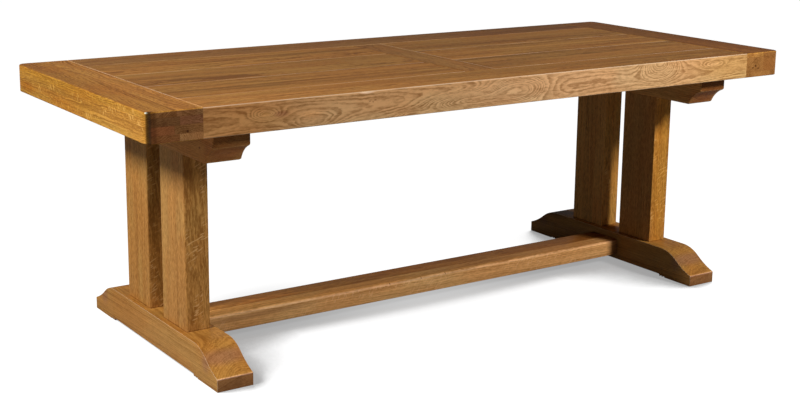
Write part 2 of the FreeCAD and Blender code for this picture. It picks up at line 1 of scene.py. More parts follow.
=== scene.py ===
import bpy
import math
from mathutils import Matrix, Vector


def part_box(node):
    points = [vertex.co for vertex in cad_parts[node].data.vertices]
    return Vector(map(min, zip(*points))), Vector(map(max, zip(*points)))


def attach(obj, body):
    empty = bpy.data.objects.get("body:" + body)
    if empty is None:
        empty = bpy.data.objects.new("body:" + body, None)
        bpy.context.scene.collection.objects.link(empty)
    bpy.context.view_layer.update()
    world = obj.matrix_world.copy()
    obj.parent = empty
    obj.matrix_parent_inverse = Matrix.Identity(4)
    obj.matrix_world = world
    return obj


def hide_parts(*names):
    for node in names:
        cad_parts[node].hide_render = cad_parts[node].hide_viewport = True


# Oak trestle dining table: the shape and finish of its pieces, in the order of assembly. Metres, in
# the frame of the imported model: X runs along the table, -Y is its front, and Z is up from the floor.
# Left is towards -X.

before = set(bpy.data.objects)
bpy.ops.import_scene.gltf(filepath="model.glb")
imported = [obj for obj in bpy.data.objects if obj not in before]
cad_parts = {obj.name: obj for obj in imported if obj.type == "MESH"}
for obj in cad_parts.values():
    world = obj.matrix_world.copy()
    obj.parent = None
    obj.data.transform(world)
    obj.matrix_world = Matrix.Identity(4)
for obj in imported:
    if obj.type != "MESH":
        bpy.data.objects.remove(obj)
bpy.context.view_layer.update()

# ---------------------------------------------------------------------------------------------
# Feet
# One solid balk of oak each, sawn to an ogee at both ends and hollowed underneath so that it
# stands on two pads. Planed, sanded and finished with a honey-coloured satin lacquer.
# ---------------------------------------------------------------------------------------------


class Socket:
    """A socket of a node. Sums written on it become nodes of the same material."""

    def __init__(self, tree, socket):
        self.tree = tree
        self.socket = socket

    def node(self, kind, settings=None, sockets=None, output=0):
        """Add a node, with its settings first and then its sockets, and give one of its outputs."""
        made = self.tree.nodes.new(kind)
        for name, setting in (settings or {}).items():
            setattr(made, name, setting)
        for name, given in (sockets or {}).items():
            if isinstance(given, Socket):
                self.tree.links.new(given.socket, made.inputs[name])
            else:
                made.inputs[name].default_value = given
        return Socket(self.tree, made.outputs[output])

    def feed(self, node, name):
        """Link this to a socket of a node that is there already."""
        self.tree.links.new(self.socket, node.inputs[name])

    def sibling(self, output):
        """Another output of the node that this socket belongs to."""
        return Socket(self.tree, self.socket.node.outputs[output])

    def math(self, operation, *terms):
        """A sum of numbers."""
        return self.node("ShaderNodeMath", {"operation": operation}, dict(enumerate(terms)))

    def vector(self, operation, *terms, output="Vector"):
        """A sum of places."""
        settings = {"operation": operation}
        return self.node("ShaderNodeVectorMath", settings, dict(enumerate(terms)), output)

    def __add__(self, other):
        return self.math("ADD", self, other)

    def __sub__(self, other):
        return self.math("SUBTRACT", self, other)

    def __rsub__(self, other):
        return self.math("SUBTRACT", other, self)

    def __mul__(self, other):
        return self.math("MULTIPLY", self, other)

    def __truediv__(self, other):
        return self.math("DIVIDE", self, other)

    def __gt__(self, other):
        return self.math("GREATER_THAN", self, other)

    def __abs__(self):
        return self.math("ABSOLUTE", self)

    __radd__ = __add__
    __rmul__ = __mul__

    def root(self):
        """The square root of this number."""
        return self.math("SQRT", self)

    def step(self, start, end):
        """Go smoothly from 0 to 1 as this value goes from start to end, whichever is larger."""
        if end < start:
            return 1 - self.step(end, start)
        stops = {"Value": self, "From Min": start, "From Max": end}
        return self.node("ShaderNodeMapRange", {"interpolation_type": "SMOOTHSTEP"}, stops)

    def stretch(self, factors):
        """This place with each axis multiplied by its own factor."""
        return self.vector("MULTIPLY", self, factors)

    def noise(self, detail=2.0, roughness=0.5):
        """Smooth noise over a place, from about -0.3 to 0.3."""
        sockets = {"Vector": self, "Scale": 1.0, "Detail": detail, "Roughness": roughness}
        return self.node("ShaderNodeTexNoise", None, sockets) - 0.5

    def far_from(self, centre, reach):
        """The distance from a centre, where 1 is the reach along each axis."""
        offset = self.vector("SUBTRACT", self, centre).stretch([1 / size for size in reach])
        return offset.vector("LENGTH", offset, output="Value")

    def hill(self, centre, reach):
        """A smooth swelling, 1 at its centre and nearly gone at twice its reach."""
        distance = self.far_from(centre, reach)
        return self.math("EXPONENT", distance * distance * -1.0)

    def between(self, first, second):
        """The colour that goes from the first to the second as this number goes from 0 to 1."""
        settings = {"data_type": "RGBA", "clamp_factor": True}
        return self.node("ShaderNodeMix", settings, {0: self, 6: first, 7: second}, "Result")

    def tinted(self, tint, share):
        """This colour multiplied by a tint, by a share from 0 to 1."""
        settings = {"data_type": "RGBA", "blend_type": "MULTIPLY", "clamp_factor": True}
        factors = tint if isinstance(tint, Socket) else shade(tint)
        return self.node("ShaderNodeMix", settings, {0: share, 6: self, 7: factors}, "Result")


def shade(colour, factors=(1, 1, 1)):
    """A colour with each part multiplied by its own factor."""
    return *(part * factor for part, factor in zip(colour, factors)), 1


def start_finish(name):
    """A new material, its shader, and the place on the piece that its nodes are asked about."""
    material = bpy.data.materials.new(name)
    material.use_nodes = True
    tree = material.node_tree
    place = Socket(tree, tree.nodes.new("ShaderNodeTexCoord").outputs["Object"])
    return material, tree.nodes["Principled BSDF"], place


GRAIN_ORDER = {"X": (0, 1, 2), "Y": (1, 0, 2), "Z": (2, 1, 0)}
PLAIN = (1.0, 1.0, 1.0)
PALE_WOOD = (1.24, 1.30, 1.42)
DARK_WOOD = (0.62, 0.56, 0.50)
WARM_CLOUD = (1.0, 0.88, 0.80)
RAY_FLECK = (1.45, 1.65, 2.5)
KNOT_TINT = (0.30, 0.20, 0.15)
GLUE_TINT = (0.62, 0.56, 0.52)
# Pale colour of worn arrises, which also paints their highlight
WORN_AND_HIGHLIT_WOOD = (0.68, 0.48, 0.31)
MIDDLE_TONE = 0.42
STAVE_APART = 7.0
LAYER_TURN = 2.4
RING_UNEVENNESS = 2.2
# How far from a joint its glue line starts to show, and where it shows fully
EDGE_JOINT = (0.0009, 0.0003)
LAYER_JOINT = (0.0008, 0.0003)
PORE_DEPTH = 0.0005
SATIN = 0.46
COAT = 0.1
COAT_ROUGHNESS = 0.35


def oak(name, grain, seed, colour, pith, spread=(0.02, 0.02), breaks=(), layers=(), layer_shift=0.0,
        ring=0.0036, taper=0.012, wander=0.012, jag=0.004, contrast=1.0, figures=(), knots=(),
        patches=(), staves=(), blocks=(), stave_tone=0.10, flecks=0.0, fleck_slope=0.5,
        fleck_face="Y", upper_shade_tints=(PLAIN, PLAIN), end_tint=(0.66, 0.60, 0.60), worn_and_highlit=None,
        mottle=1.0, banding=0.8):
    """Oak, as growth rings round a pith that lies along the grain.

    A board's staves and layers part at the given places across and through the grain, and each has a
    pith of its own. A figure swells the rings round its centre, as far as its reach along each axis,
    which draws ovals and arches on a face. A patch has a centre and a reach too, and tints what lies
    there, while staves tint whole staves and blocks tint their end grain. Ray flecks show on the
    quarter-sawn face, which looks along the fleck_face axis. Upper faces get painted shade, which goes
    from the first upper tint at the left to the second at the right. Where an axis and an amount are
    given for the arrises, the face that looks along that axis has its arrises painted paler by that
    amount, as wear and as a painted highlight.
    """
    material, shader, place = start_finish(name)
    axes = place.node("ShaderNodeSeparateXYZ", None, {0: place})
    turned = axes.node("ShaderNodeSeparateXYZ", None, {0: place.sibling("Normal")})
    along, across, through = (axes.sibling(index) for index in GRAIN_ORDER[grain])

    def facing(axis):
        """How far a face looks along an axis, from -1 to 1."""
        return turned.sibling("XYZ".index(axis))

    # Which stave and layer this is, and three numbers that belong to it alone
    layer = sum((through > level for level in layers), along * 0)
    shifted = across + layer.math("SINE", layer * LAYER_TURN + seed) * layer_shift
    stave = sum((shifted > edge for edge in breaks), along * 0)
    number = stave.node("ShaderNodeCombineXYZ", None, {0: stave, 1: layer, 2: float(seed)})
    own = number.node("ShaderNodeTexWhiteNoise", {"noise_dimensions": "3D"}, {"Vector": number}, "Color")
    own_axes = own.node("ShaderNodeSeparateXYZ", None, {0: own})
    own_across, own_through, own_tone = (own_axes.sibling(index) - 0.5 for index in range(3))
    own_place = place.vector("ADD", place, own.stretch([STAVE_APART] * 3))

    def lengthwise(along_factor, across_factor):
        """The stave's own place, scaled along and across the grain."""
        factors = [along_factor if axis == grain else across_factor for axis in "XYZ"]
        return own_place.stretch(factors)

    # Growth rings, which wander, bulge at a figure and run round a knot
    off_across = across - pith[0] - own_across * (2 * spread[0])
    off_through = through - pith[1] - own_through * (2 * spread[1])
    radius = (off_across * off_across + off_through * off_through).root()
    radius = radius + along * taper + lengthwise(2.2, 12.0).noise(3.0) * (wander * 2)
    radius = radius + lengthwise(38.0, 150.0).noise(1.0) * jag
    for centre, reach, rise in figures:
        radius = radius + place.hill(centre, reach) * rise
    knot_dark = along * 0
    for centre, size in knots:
        distance = place.far_from(centre, [size * (4 if axis == grain else 2) for axis in "XYZ"])
        radius = radius + distance.math("EXPONENT", distance * -1.0) * (size * 1.5)
        knot_dark = knot_dark + distance.step(0.55, 0.2)
    rings = radius / ring
    uneven = rings.node("ShaderNodeTexNoise", {"noise_dimensions": "1D"},
                        {"W": rings * 0.37 + own_tone * 40.0, "Scale": 1.0, "Detail": 2.0}) - 0.5
    phase = rings.math("FRACT", rings + uneven * RING_UNEVENNESS)
    early = phase.step(0.2, 0.75) * phase.step(1.0, 0.84)

    # Streaks, pores and slow changes of tone
    pore = lengthwise(16.0, 700.0).noise().step(0.04, 0.2)
    streak = lengthwise(5.0, 120.0).noise(3.0, 0.65)
    grit = lengthwise(70.0, 260.0).noise(2.0, 0.6)
    band = lengthwise(1.0, 26.0).noise(2.0)
    cloud = lengthwise(4.0, 11.0).noise(2.0)
    clear = lengthwise(11.0, 55.0).noise(1.0) * 2.5 + 1.0
    tone = (MIDDLE_TONE + uneven * 0.5 + streak * 1.1 + grit * (1.5 * mottle) + band * banding
            + own_tone * (2 * stave_tone) + (early - 0.4) * clear * (0.45 * contrast) + pore * 0.12)
    paint = tone.between(shade(colour, PALE_WOOD), shade(colour, DARK_WOOD))
    paint = paint.tinted(WARM_CLOUD, cloud.step(-0.12, 0.12) * 0.8)

    # Pale ray flecks, which cross the grain at a slant
    if flecks:
        beside = across + through
        stroke = along.node("ShaderNodeCombineXYZ", None, {
            0: (along + cloud * 0.03 - beside * fleck_slope) * 190.0, 1: beside * 50.0, 2: own_tone * 30.0})
        fleck = stroke.noise(0.0).step(0.08, 0.20) * lengthwise(7.0, 16.0).noise(1.0).step(0.0, 0.08)
        fleck = fleck * abs(facing(fleck_face)).step(0.8, 0.95)
        paint = (fleck * flecks).between(paint, shade(colour, RAY_FLECK))

    # Tints of places and staves, and dark knots
    for centre, reach, tint in patches:
        paint = paint.tinted(tint, place.far_from(centre, reach).step(1.0, 0.3))
    for stave_number, tint in staves:
        paint = paint.tinted(tint, abs(stave - stave_number).step(0.5, 0.4))
    paint = paint.tinted(KNOT_TINT, knot_dark)

    # Glue lines, end grain, painted shade on upper faces, and arrises painted pale as wear and highlight
    seam = along * 0
    for edge in breaks:
        seam = seam + abs(shifted - edge).step(*EDGE_JOINT)
    for level in layers:
        seam = seam + abs(through - level).step(*LAYER_JOINT)
    paint = paint.tinted(GLUE_TINT, seam * 0.5)
    end_grain = abs(facing(grain)).step(0.75, 0.95)
    paint = paint.tinted(end_tint, end_grain)
    for stave_number, layer_number, tint in blocks:
        here = abs(stave - stave_number) + abs(layer - layer_number)
        paint = paint.tinted(tint, here.step(0.5, 0.4) * end_grain)
    # Upper faces are painted darker, as shade, going from the left tint to the right one
    left_tint, right_tint = (shade(tint) for tint in upper_shade_tints)
    upper_shade_tint = axes.step(-0.9, 0.9).between(left_tint, right_tint)
    paint = paint.tinted(upper_shade_tint, facing("Z").step(0.6, 0.95))
    # Arrises painted paler, partly as wear and partly as a painted highlight
    if worn_and_highlit:
        axis, amount = worn_and_highlit
        slanted = abs(facing(axis)) * (1 - facing(axis) * facing(axis)).root() * 2.0
        paint = (slanted.step(0.6, 0.95) * (amount + streak * 1.5)).between(paint, shade(WORN_AND_HIGHLIT_WOOD))

    open_grain = early * 0.35 + pore * 0.6
    bump = open_grain.node("ShaderNodeBump", None,
                           {"Height": 1 - open_grain, "Strength": 0.35, "Distance": PORE_DEPTH})
    paint.feed(shader, "Base Color")
    (SATIN + streak * 0.3 + end_grain * 0.15).feed(shader, "Roughness")
    bump.feed(shader, "Normal")
    shader.inputs["Specular IOR Level"].default_value = 0.0
    shader.inputs["Coat Weight"].default_value = COAT
    shader.inputs["Coat Roughness"].default_value = COAT_ROUGHNESS
    return material


ARRIS = 0.0025
ARRIS_STEPS = 3
SHARP_TURN = math.radians(30)
SMALL = 1e-5


def balk(name, low, high):
    """A squared balk, ready to be cut."""
    bpy.ops.object.select_all(action="DESELECT")
    bpy.ops.mesh.primitive_cube_add(size=1.0, location=(low + high) / 2, scale=high - low)
    bpy.ops.object.transform_apply(location=True, rotation=True, scale=True)
    piece = bpy.context.object
    piece.name = name
    return piece


def both_ways(distances):
    """These distances to both sides of the middle."""
    return [sign * distance for sign in (-1, 1) for distance in distances]


def same(one, other):
    """Whether two distances are the same, but for rounding."""
    return abs(one - other) < SMALL


def score(axis, places):
    """Cut lines round the piece in hand at places along an axis, so that it can be shaped there."""
    square = Vector(letter == axis for letter in "XYZ")
    bpy.ops.object.mode_set(mode="EDIT")
    for distance in places:
        bpy.ops.mesh.select_all(action="SELECT")
        bpy.ops.mesh.bisect(plane_co=square * distance, plane_no=square)
    bpy.ops.object.mode_set(mode="OBJECT")


def pick(chosen):
    """Select the points of the piece in hand that a test chooses."""
    bpy.ops.object.mode_set(mode="EDIT")
    bpy.ops.mesh.select_mode(type="VERT")
    bpy.ops.mesh.select_all(action="DESELECT")
    bpy.ops.object.mode_set(mode="OBJECT")
    for point in bpy.context.object.data.vertices:
        point.select = chosen(point.co)
    bpy.ops.object.mode_set(mode="EDIT")


def slide(chosen, by):
    """Move those points of the piece in hand that a test chooses."""
    pick(chosen)
    bpy.ops.transform.translate(value=by)
    bpy.ops.object.mode_set(mode="OBJECT")


def ease_edges():
    """Round all sharp edges of the piece in hand a little, and shade it smooth."""
    bevel = bpy.context.object.modifiers.new("ease", "BEVEL")
    bevel.width = ARRIS
    bevel.segments = ARRIS_STEPS
    bevel.limit_method = "ANGLE"
    bevel.angle_limit = SHARP_TURN
    bpy.ops.object.modifier_apply(modifier="ease")
    bpy.ops.object.shade_smooth_by_angle(angle=SHARP_TURN)


def shifted_copy(piece, name, by):
    """A second piece like the first, with a mesh of its own."""
    bpy.ops.object.select_all(action="DESELECT")
    piece.select_set(True)
    bpy.context.view_layer.objects.active = piece
    bpy.ops.object.duplicate()
    bpy.ops.transform.translate(value=by)
    bpy.ops.object.transform_apply(location=True, rotation=False, scale=False)
    bpy.context.object.name = name
    return bpy.context.object


def stand_in(piece, node, material):
    """Let a finished wooden piece of the trestles take the place of its node."""
    piece.data.materials.append(material)
    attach(piece, "root")
    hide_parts(node)


OGEE_RUN = 0.139
SHOULDER_RADIUS = 0.112
HOLLOW_RADIUS = 0.235
TOE_HEIGHT = 0.035
PAD_LENGTH = 0.108
RELIEF = 0.007
RELIEF_RADIUS = 0.18
OGEE_CUTS = 12
RELIEF_CUTS = 6


def ogee_height(distance, half_length, height):
    """How high the foot's back is at a distance from its middle: flat, then shoulder, then hollow."""
    shoulder = (half_length - OGEE_RUN, height - SHOULDER_RADIUS)
    to_toe = (half_length - shoulder[0], TOE_HEIGHT - shoulder[1])
    span, reach = math.hypot(*to_toe), SHOULDER_RADIUS + HOLLOW_RADIUS
    opening = math.acos((reach ** 2 + span ** 2 - HOLLOW_RADIUS ** 2) / (2 * reach * span))
    turning = math.atan2(to_toe[1], to_toe[0]) + opening
    hollow = (shoulder[0] + reach * math.cos(turning), shoulder[1] + reach * math.sin(turning))
    if distance < shoulder[0] + SHOULDER_RADIUS * math.cos(turning):
        return shoulder[1] + math.sqrt(SHOULDER_RADIUS ** 2 - max(distance - shoulder[0], 0) ** 2)
    return hollow[1] - math.sqrt(HOLLOW_RADIUS ** 2 - (hollow[0] - distance) ** 2)


low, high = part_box("foot_left")
half_length, height = high.y, high.z
left_foot = balk("left_foot", low, high)
ogee_places = [half_length - OGEE_RUN * step / OGEE_CUTS for step in range(1, OGEE_CUTS + 1)]
score("Y", both_ways(ogee_places))
for distance in ogee_places + [half_length]:
    drop = height - ogee_height(distance, half_length, height)
    slide(lambda point: same(abs(point.y), distance) and point.z > TOE_HEIGHT, (0, 0, -drop))
relief_turn = math.acos(1 - RELIEF / RELIEF_RADIUS)
relief_end = half_length - PAD_LENGTH - RELIEF_RADIUS * math.sin(relief_turn)
relief_turns = [relief_turn * step / RELIEF_CUTS for step in range(RELIEF_CUTS + 1)]
relief_places = [relief_end + RELIEF_RADIUS * math.sin(turn) for turn in relief_turns]
score("Y", both_ways(relief_places))
for distance in relief_places:
    rise = RELIEF - RELIEF_RADIUS + math.sqrt(RELIEF_RADIUS ** 2 - (distance - relief_end) ** 2)
    slide(lambda point: same(abs(point.y), distance) and same(point.z, low.z), (0, 0, rise))
ease_edges()
trestle_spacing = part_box("foot_right")[0].x - low.x
right_foot = shifted_copy(left_foot, "right_foot", (trestle_spacing, 0, 0))

FOOT_COLOUR = (0.51, 0.256, 0.068)
# Painted shade on the feet's upper faces
FOOT_TOP_SHADE = (0.85, 0.76, 0.56)
FOOT_END_TINT = (0.66, 0.58, 0.72)
BACK_HALF_TINT = (0.92, 0.87, 0.76)
PINK_BAND = (0.78, 0.76, 1.25)
PINK_BAND_INSET = 0.068
PINK_BAND_HEIGHT = 0.062
# Painted highlight along the top edge of each toe
TOE_HIGHLIGHT = (1.7, 2.0, 3.8)
TOE_HIGHLIGHT_INSET = 0.001
SHADED_SIDE = (0.70, 0.70, 0.70)
SHADED_CREST = (0.25, 0.22, 0.20)
for piece, side, seed, tone in ((left_foot, "left", 11, 1.0), (right_foot, "right", 12, 0.85)):
    low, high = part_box(f"foot_{side}")
    middle = (low + high) / 2
    patches = [((low.x, high.y, 0.05), (0.004, 0.50, 0.2), BACK_HALF_TINT)]
    for band_y in both_ways([high.y - PINK_BAND_INSET]):
        patches.append(((middle.x, band_y, PINK_BAND_HEIGHT), (0.12, 0.036, 0.045), PINK_BAND))
    # A thin painted highlight along each toe's top edge
    for toe_y in both_ways([high.y - TOE_HIGHLIGHT_INSET]):
        patches.append(((middle.x, toe_y, TOE_HEIGHT), (0.2, 0.004, 0.004), TOE_HIGHLIGHT))
    if side == "right":
        patches.append(((low.x, 0.0, 0.05), (0.004, 0.8, 0.2), SHADED_SIDE))
        patches.append(((low.x + 0.05, 0.30, high.z), (0.10, 0.16, 0.03), SHADED_CREST))
    stand_in(piece, f"foot_{side}", oak(
        f"{side}_foot_oak", "Y", seed, shade(FOOT_COLOUR, [tone] * 3), pith=(middle.x + 0.05, -0.16),
        # Side arrises painted pale as wear and as a highlight, and upper faces painted with shade
        contrast=0.8, mottle=0.5, worn_and_highlit=("X", 0.85), upper_shade_tints=(FOOT_TOP_SHADE, FOOT_TOP_SHADE),
        end_tint=FOOT_END_TINT, patches=patches,
    ))

# ---------------------------------------------------------------------------------------------
# Posts
# Two to each trestle, of oak staves glued side by side, tenoned into the foot and the bearer.
# Their broad faces are partly quarter-sawn, so pale ray flecks cross them.
# ---------------------------------------------------------------------------------------------


def finish_node(node, material):
    """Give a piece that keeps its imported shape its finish."""
    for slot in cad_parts[node].material_slots:
        slot.material = material


POST_COLOUR = (0.49, 0.245, 0.065)
POST_JOINTS = (-0.025, 0.028)
# Painted shade in the crease where a post meets its foot
SHOULDER_SHADE = (0.45, 0.38, 0.35)
FOOT_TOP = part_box("foot_left")[1].z
# The tints of a post's face towards the front and of its face towards the left. They paint light
# and shade onto single faces; the darkest paint the front post's shadow on the back left post's front
# face and the top's shade on the right front post's left face
FACE_LIGHT_AND_SHADE = {
    "left_front": ((0.94, 0.92, 0.84), PLAIN),
    "left_back": ((0.55, 0.48, 0.36), (1.03, 1.0, 0.88)),
    "right_front": ((1.0, 0.86, 0.46), (0.74, 0.72, 0.72)),
    "right_back": ((1.0, 0.95, 0.70), (0.98, 1.0, 1.0)),
}
for seed, (name, (front_tint, left_tint)) in enumerate(FACE_LIGHT_AND_SHADE.items(), start=21):
    low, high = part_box(f"post_{name}")
    middle = (low + high) / 2
    finish_node(f"post_{name}", oak(
        f"post_{name}_oak", "Z", seed, POST_COLOUR, pith=(middle.y, low.x + 0.012),
        spread=(0.03, 0.012), breaks=[middle.y + joint for joint in POST_JOINTS], taper=0.03, jag=0.003,
        contrast=0.8, mottle=1.4, flecks=0.8, fleck_slope=0.45,
        patches=[
            # Painted light and shade on the front and left faces
            ((middle.x, low.y, middle.z), (0.06, 0.006, 0.6), front_tint),
            ((low.x, middle.y, middle.z), (0.004, 0.12, 0.6), left_tint),
            ((middle.x, middle.y, FOOT_TOP), (0.1, 0.2, 0.004), SHOULDER_SHADE),
        ],
    ))

# ---------------------------------------------------------------------------------------------
# Bearers
# One balk of oak under the top of each trestle, with a hollow cove sawn into both ends and its
# corners eased. Screws go up through it into the long rails.
# ---------------------------------------------------------------------------------------------

COVE_RUN = 0.052
COVE_RISE = 0.048
COVE_RADIUS = 0.082
COVE_CUTS = 8
COVE_EASE = 0.005
COVE_EASE_STEPS = 4


def round_over(chosen, width, steps):
    """Round those edges of the piece in hand whose ends a test chooses."""
    pick(chosen)
    bpy.ops.mesh.bevel(offset=width, segments=steps, profile=0.5)
    bpy.ops.object.mode_set(mode="OBJECT")


low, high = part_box("bearer_left")
left_bearer = balk("left_bearer", low, high)
cove_span = math.hypot(COVE_RUN, COVE_RISE)
cove_outward = math.sqrt(COVE_RADIUS ** 2 - (cove_span / 2) ** 2) / cove_span
cove_y = high.y - COVE_RUN / 2 + COVE_RISE * cove_outward
cove_z = COVE_RISE / 2 - COVE_RUN * cove_outward
lower_turn = math.atan2(-cove_z, cove_y - high.y + COVE_RUN)
upper_turn = math.atan2(COVE_RISE - cove_z, cove_y - high.y)
cove_turns = [lower_turn + (upper_turn - lower_turn) * step / COVE_CUTS for step in range(COVE_CUTS + 1)]
cove_places = [(cove_y - COVE_RADIUS * math.cos(turn), cove_z + COVE_RADIUS * math.sin(turn))
               for turn in cove_turns]
score("Y", both_ways([distance for distance, _ in cove_places[:-1]]))
for distance, rise in cove_places[1:]:
    slide(lambda point: same(point.z, low.z) and same(abs(point.y), distance), (0, 0, rise))
noses = ((high.y - COVE_RUN, low.z), (high.y, low.z + COVE_RISE))
round_over(lambda point: any(same(abs(point.y), y) and same(point.z, z) for y, z in noses),
           COVE_EASE, COVE_EASE_STEPS)
ease_edges()
right_bearer = shifted_copy(left_bearer, "right_bearer", (trestle_spacing, 0, 0))

BEARER_COLOUR = (0.54, 0.27, 0.078)
COVE_TINT = (0.80, 0.62, 0.62)
LEFT_BEARER_KNOT = ((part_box("bearer_left")[0].x, -0.33, 0.633), 0.003)
for piece, side, seed, end_tint, face_tint, knots in (
        (left_bearer, "left", 31, (0.49, 0.42, 0.38), (0.95, 0.84, 0.75), [LEFT_BEARER_KNOT]),
        (right_bearer, "right", 32, (0.46, 0.35, 0.28), PLAIN, [])):
    low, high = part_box(f"bearer_{side}")
    middle = (low + high) / 2
    patches = [((low.x, 0.0, middle.z), (0.004, 1.5, 0.2), face_tint)]
    for hollow_y in both_ways([high.y - COVE_RUN / 2]):
        patches.append(((middle.x, hollow_y, low.z + COVE_RISE / 2), (0.09, 0.05, 0.05), COVE_TINT))
    stand_in(piece, f"bearer_{side}", oak(
        f"{side}_bearer_oak", "Y", seed, BEARER_COLOUR, pith=(middle.x + 0.03, middle.z + 0.09),
        wander=0.02, mottle=0.6, end_tint=end_tint, knots=knots, patches=patches,
    ))

# ---------------------------------------------------------------------------------------------
# Stretcher
# A low board of two oak staves, glued edge to edge and tenoned into both feet. Its front upper
# arris is worn round by years of resting feet, so it wavers and shows small nicks, and it is
# painted pale, as wear and as a painted highlight.
# ---------------------------------------------------------------------------------------------

WORN_ARRIS = 0.010
WORN_ARRIS_STEPS = 6
WEAR_DEPTH = 0.0012
WEAR_LENGTH = 0.035
WEAR_CUTS = 160

low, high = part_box("stretcher")
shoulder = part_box("foot_right")[0].x
stretcher = balk("stretcher_board", Vector((-shoulder, low.y, low.z)), Vector((shoulder, high.y, high.z)))
round_over(lambda point: point.y < 0 and point.z > low.z + SMALL, WORN_ARRIS, WORN_ARRIS_STEPS)
ease_edges()
score("X", [shoulder * (2 * step / WEAR_CUTS - 1) for step in range(1, WEAR_CUTS)])
pick(lambda point: point.y < low.y + WORN_ARRIS - SMALL and point.z > high.z - WORN_ARRIS + SMALL)
bpy.ops.object.vertex_group_assign_new()
bpy.ops.object.mode_set(mode="OBJECT")
wear = bpy.data.textures.new("wear", "CLOUDS")
wear.noise_scale = WEAR_LENGTH
worn = stretcher.modifiers.new("worn", "DISPLACE")
worn.texture = wear
worn.texture_coords = "LOCAL"
worn.vertex_group = stretcher.vertex_groups[0].name
worn.mid_level = 0.0
worn.strength = -WEAR_DEPTH
bpy.ops.object.modifier_apply(modifier="worn")
bpy.ops.object.shade_smooth_by_angle(angle=SHARP_TURN)

STRETCHER_COLOUR = (0.66, 0.35, 0.122)
STRETCHER_JOINT = -0.009
BACK_STAVE_TINT = (0.66, 0.56, 0.40)
NICK_TINT = (0.45, 0.35, 0.30)
NICKS = (-0.1414, -0.0235, 0.0688)
# The centre of each tinted place, its reach along X, Y and Z, and its factors
# Of these, the worn arris is painted pale as wear and as a highlight, the left of the front stave is
# painted with light and its middle with shade, the left of the back stave is painted with shade, and the
# right end is painted with the right foot's shade and shadow
STRETCHER_TINTS = {
    "worn arris, painted highlight": ((0.0, low.y + 0.003, high.z - 0.003), (9.0, 0.007, 0.007), (1.36, 1.48, 1.85)),
    "under the arris": ((-0.60, low.y, high.z - 0.017), (0.26, 0.03, 0.011), (0.66, 0.62, 0.62)),
    "front stave": ((0.10, low.y + 0.035, high.z), (0.60, 0.030, 0.010), (0.78, 0.78, 0.76)),
    "painted light on the front stave, left": ((-shoulder, low.y + 0.035, high.z), (0.45, 0.030, 0.010), (1.15, 1.10, 1.0)),
    "back stave": ((0.0, high.y, high.z), (0.60, 0.05, 0.04), (0.92, 0.84, 0.64)),
    "painted shade on the back stave, left": ((-shoulder, high.y, high.z), (0.70, 0.068, 0.04), (0.44, 0.40, 0.36)),
    "right end": ((shoulder, low.y, low.z), (0.04, 0.06, 0.12), (0.45, 0.41, 0.38)),
    "painted shadow by the right foot, back": ((shoulder, high.y, high.z), (0.03, 0.05, 0.03), (0.35, 0.30, 0.26)),
}
nick_patches = [((x, low.y + 0.002, high.z - 0.002), (0.003, 0.009, 0.007), NICK_TINT) for x in NICKS]
stand_in(stretcher, "stretcher", oak(
    "stretcher_oak", "X", 41, STRETCHER_COLOUR, pith=(0.0, -0.06), spread=(0.05, 0.02),
    breaks=(STRETCHER_JOINT,), staves=((1, BACK_STAVE_TINT),), stave_tone=0.0, flecks=0.25, mottle=0.7,
    # Upper faces painted lighter at the left, as light, and darker towards the right, as shade
    contrast=0.8, upper_shade_tints=((1.16, 1.09, 0.88), (0.66, 0.58, 0.50)),
    patches=[*STRETCHER_TINTS.values(), *nick_patches],
))

# ---------------------------------------------------------------------------------------------
# Long rails
# The oak edge members of the top, tenoned into the breadboard ends. A full-depth board is glued
# on as their outer face, and its flat-sawn figure runs in eyes, arches and swirls.
# ---------------------------------------------------------------------------------------------

RAIL_COLOUR = (0.62, 0.352, 0.148)
FACE_BOARD = 0.024
SECOND_JOINT = 0.08
HEART_DEPTH = 0.055
HEART_HEIGHT = 0.722
RAIL_GRAIN = {
    "ring": 0.0042, "taper": 0.022, "jag": 0.003, "contrast": 1.3, "stave_tone": 0.0, "banding": 1.2,
}

low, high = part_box("front_rail")
face = low.y
# Where a figure is along the rail and above the floor, its reach both ways, and its swelling
FIGURE_DEPTH = 0.03
RAIL_FIGURES = {
    "eye": ((-0.780, 0.727), (0.040, 0.014), 0.024),
    "arch under the eye": ((-0.640, 0.690), (0.075, 0.030), -0.020),
    "small eye": ((-0.343, 0.687), (0.050, 0.012), 0.014),
    "fan": ((0.020, 0.722), (0.110, 0.034), 0.055),
    "foot of the fan": ((-0.160, 0.706), (0.120, 0.022), 0.045),
    "arch": ((0.5725, 0.775), (0.065, 0.055), -0.060),
    "swirl": ((0.805, 0.736), (0.055, 0.012), 0.016),
}
# Where a tint is along the rail and above the floor, its reach both ways, and its factors
TINT_DEPTH = 0.01
RAIL_TINTS = {
    "left third": ((-0.90, 0.721), (0.32, 0.09), (0.88, 0.76, 0.60)),
    "middle": ((0.15, 0.721), (0.45, 0.09), (1.08, 1.13, 1.24)),
    "right end": ((0.95, 0.721), (0.30, 0.09), (0.90, 0.93, 0.78)),
    "heart of the eye": ((-0.780, 0.727), (0.018, 0.007), (1.25, 1.25, 1.2)),
    "rim of the eye": ((-0.735, 0.724), (0.030, 0.012), (0.72, 0.62, 0.66)),
    "pale crest": ((-0.650, 0.716), (0.045, 0.010), (1.22, 1.22, 1.2)),
    "first speck": ((-0.472, 0.733), (0.004, 0.002), (0.45, 0.36, 0.36)),
    "second speck": ((-0.455, 0.735), (0.005, 0.002), (0.45, 0.36, 0.36)),
    "third speck": ((-0.462, 0.730), (0.003, 0.002), (0.50, 0.40, 0.40)),
    "speck in the arch": ((0.5725, 0.706), (0.004, 0.002), (0.50, 0.40, 0.35)),
    "pale swirl": ((0.805, 0.736), (0.050, 0.010), (1.22, 1.25, 1.35)),
}
